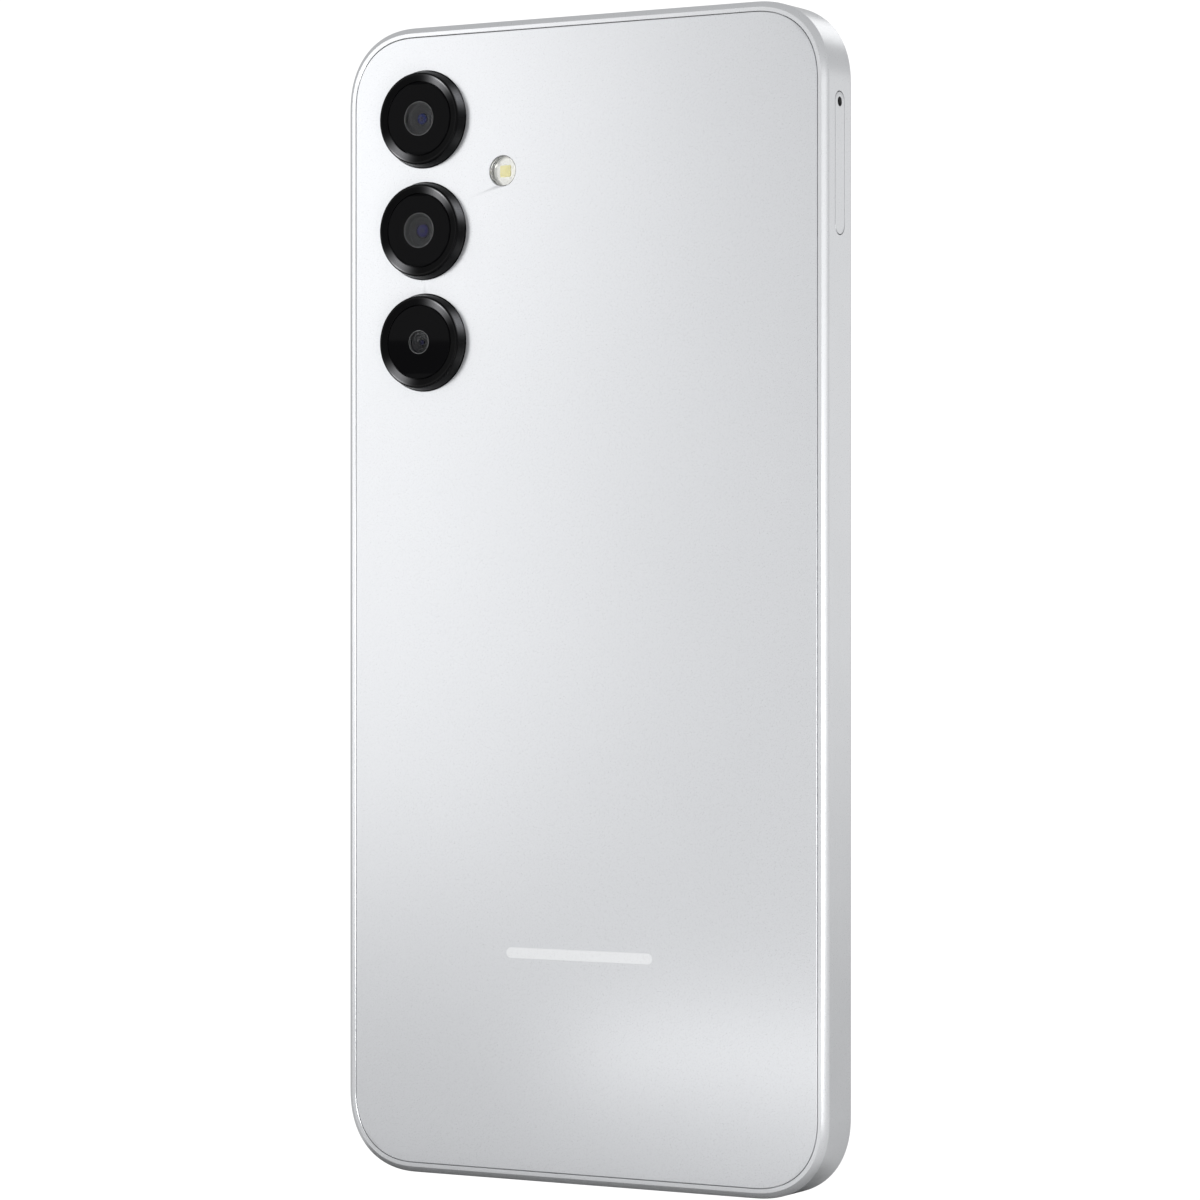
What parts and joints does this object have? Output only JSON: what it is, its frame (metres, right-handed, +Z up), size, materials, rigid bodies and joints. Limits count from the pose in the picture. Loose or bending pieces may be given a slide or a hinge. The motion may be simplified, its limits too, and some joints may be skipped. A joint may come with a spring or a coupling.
{
  "type": "smartphone",
  "caption": "Slab smartphone with a flat metal frame, a glossy rear panel, ringed rear cameras, side keys, a sliding card tray and its inner parts.",
  "frame": {"origin": "middle of the flat bottom edge, half way through the body's thickness", "axes": "+Z up along the body, +X to the right as seen from the screen side, -Y out of the screen, +Y out of the rear panel"},
  "size_m": [0.0782, 0.0096, 0.1644],
  "materials": {
    "frame_metal": "satin",
    "rear_panel": "gloss",
    "front_glass": "gloss",
    "display": "gloss",
    "camera_metal": "gloss black",
    "camera_glass": "gloss",
    "lens_plastic": "satin",
    "flash_cover": "frosted",
    "phosphor": "matte",
    "circuit_board": "satin",
    "steel": "satin",
    "black_plastic": "matte",
    "rubber": "matte",
    "cell_wrap": "satin",
    "flex_circuit": "satin",
    "copper": "satin",
    "tape": "matte",
    "tungsten": "satin"
  },
  "bodies": {
    "root": {"side_frame": "frame_metal", "mid_plate": "steel", "rear_cover": "rear_panel", "rear_cover_adhesive": "tape", "cover_glass": "front_glass", "display_adhesive": "tape", "display_panel": "display", "display_flex": "flex_circuit", "camera_ring_upper": "camera_metal", "camera_window_upper": "camera_glass", "camera_ring_middle": "camera_metal", "camera_window_middle": "camera_glass", "camera_ring_lower": "camera_metal", "camera_window_lower": "camera_glass", "ultrawide_camera": "lens_plastic", "main_camera_housing": "lens_plastic", "macro_camera": "lens_plastic", "camera_cradle": "black_plastic", "flash_window": "flash_cover", "flash_led": "phosphor", "front_camera": "lens_plastic", "main_board": "circuit_board", "processor_shield": "steel", "radio_shield": "steel", "power_shield": "steel", "top_microphone": "steel", "earpiece_speaker": "black_plastic", "upper_cover": "black_plastic", "nfc_coil": "copper", "card_socket": "steel", "card_contact_block": "black_plastic", "key_flex": "flex_circuit", "key_bracket": "steel", "battery": "cell_wrap", "interconnect_flex": "flex_circuit", "antenna_cable": "black_plastic", "sub_board": "circuit_board", "usb_socket": "steel", "usb_tongue": "black_plastic", "bottom_microphone": "steel", "loudspeaker_module": "black_plastic", "speaker_mesh": "steel", "vibration_motor_case": "steel", "vibration_motor_base": "steel", "lower_cover": "black_plastic", "bracket_screw_1": "steel", "bracket_screw_2": "steel", "bracket_screw_3": "steel", "bracket_screw_4": "steel", "bracket_screw_5": "steel", "bracket_screw_6": "steel", "bracket_screw_7": "steel"},
    "volume_key": {"volume_key": "frame_metal"},
    "power_key": {"power_key": "frame_metal"},
    "card_tray": {"card_tray": "frame_metal", "card_tray_seal": "rubber"},
    "eject_rod": {"eject_rod": "steel"},
    "eject_lever": {"eject_lever": "steel"},
    "focus_lens": {"main_camera_lens": "lens_plastic"},
    "vibration_rotor": {"vibration_motor_rotor": "tungsten"}
  },
  "joints": [
    {"name": "volume_rock", "type": "hinge", "parent": "root", "child": "volume_key", "pos_m": [0.037, 0, 0.1285], "axis": [0, 1, 0], "range_deg": [-1.2, 1.2], "stiffness_Nm_per_rad": 0.02},
    {"name": "power_press", "type": "slide", "parent": "root", "child": "power_key", "axis": [-1, 0, 0], "range_m": [0, 0.00025], "stiffness_N_per_m": 400},
    {"name": "tray_slide", "type": "slide", "parent": "root", "child": "card_tray", "axis": [-1, 0, 0], "range_m": [0, 0.0312]},
    {"name": "eject_push", "type": "slide", "parent": "root", "child": "eject_rod", "axis": [1, 0, 0], "range_m": [0, 0.001]},
    {"name": "eject_swing", "type": "hinge", "parent": "root", "child": "eject_lever", "pos_m": [-0.006, 0, 0.1462], "axis": [0, 1, 0], "range_deg": [0, 14]},
    {"name": "focus_shift", "type": "slide", "parent": "root", "child": "focus_lens", "axis": [0, 1, 0], "range_m": [0, 0.0003], "stiffness_N_per_m": 40},
    {"name": "rotor_spin", "type": "hinge", "parent": "root", "child": "vibration_rotor", "pos_m": [-0.0268, 0, 0.0126], "axis": [0, 1, 0], "continuous": true}
  ],
  "couplings": [
    {"joint": "eject_swing", "follows": "eject_push", "rad_per_m": 240}
  ]
}
